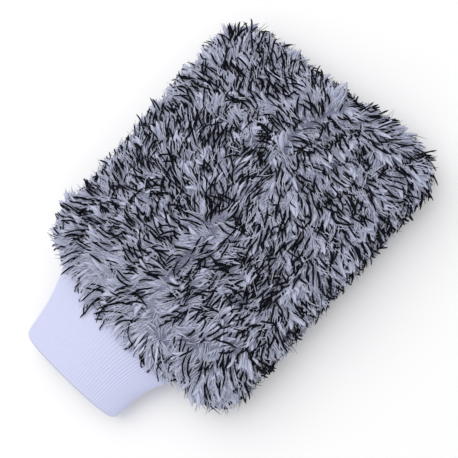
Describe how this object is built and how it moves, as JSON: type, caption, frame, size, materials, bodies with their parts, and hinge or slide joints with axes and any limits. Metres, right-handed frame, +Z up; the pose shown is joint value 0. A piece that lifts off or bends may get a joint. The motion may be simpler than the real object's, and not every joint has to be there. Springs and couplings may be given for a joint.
{
  "type": "wash mitt",
  "caption": "Plush hand mitt with a deep grey pile flecked with dark strands, an inner bag for the hand and a folded rib-knit wrist cuff.",
  "frame": {"origin": "under the middle of the whole mitt, on the surface it lies on", "axes": "+Z up, +Y towards the fingers, -Y towards the wrist, +X across the mitt"},
  "size_m": [0.2, 0.28, 0.044],
  "materials": {
    "plush": "matte",
    "ground_cloth": "matte",
    "lining": "matte",
    "rib_knit": "matte",
    "thread": "matte"
  },
  "bodies": {
    "mitt": {"top_pile": "plush", "bottom_pile": "plush", "top_ground_cloth": "ground_cloth", "bottom_ground_cloth": "ground_cloth", "top_lining": "lining", "bottom_lining": "lining", "side_seam_thread": "thread", "lining_seam_thread": "thread", "cuff_seam_thread": "thread"},
    "cuff": {"rib_cuff": "rib_knit", "cuff_closing_seam_thread": "thread"}
  },
  "joints": [
    {"name": "cuff_fold", "type": "hinge", "parent": "mitt", "child": "cuff", "pos_m": [-0.005, -0.08, 0.0254], "axis": [-1, 0, 0], "range_deg": [-20, 70]}
  ]
}
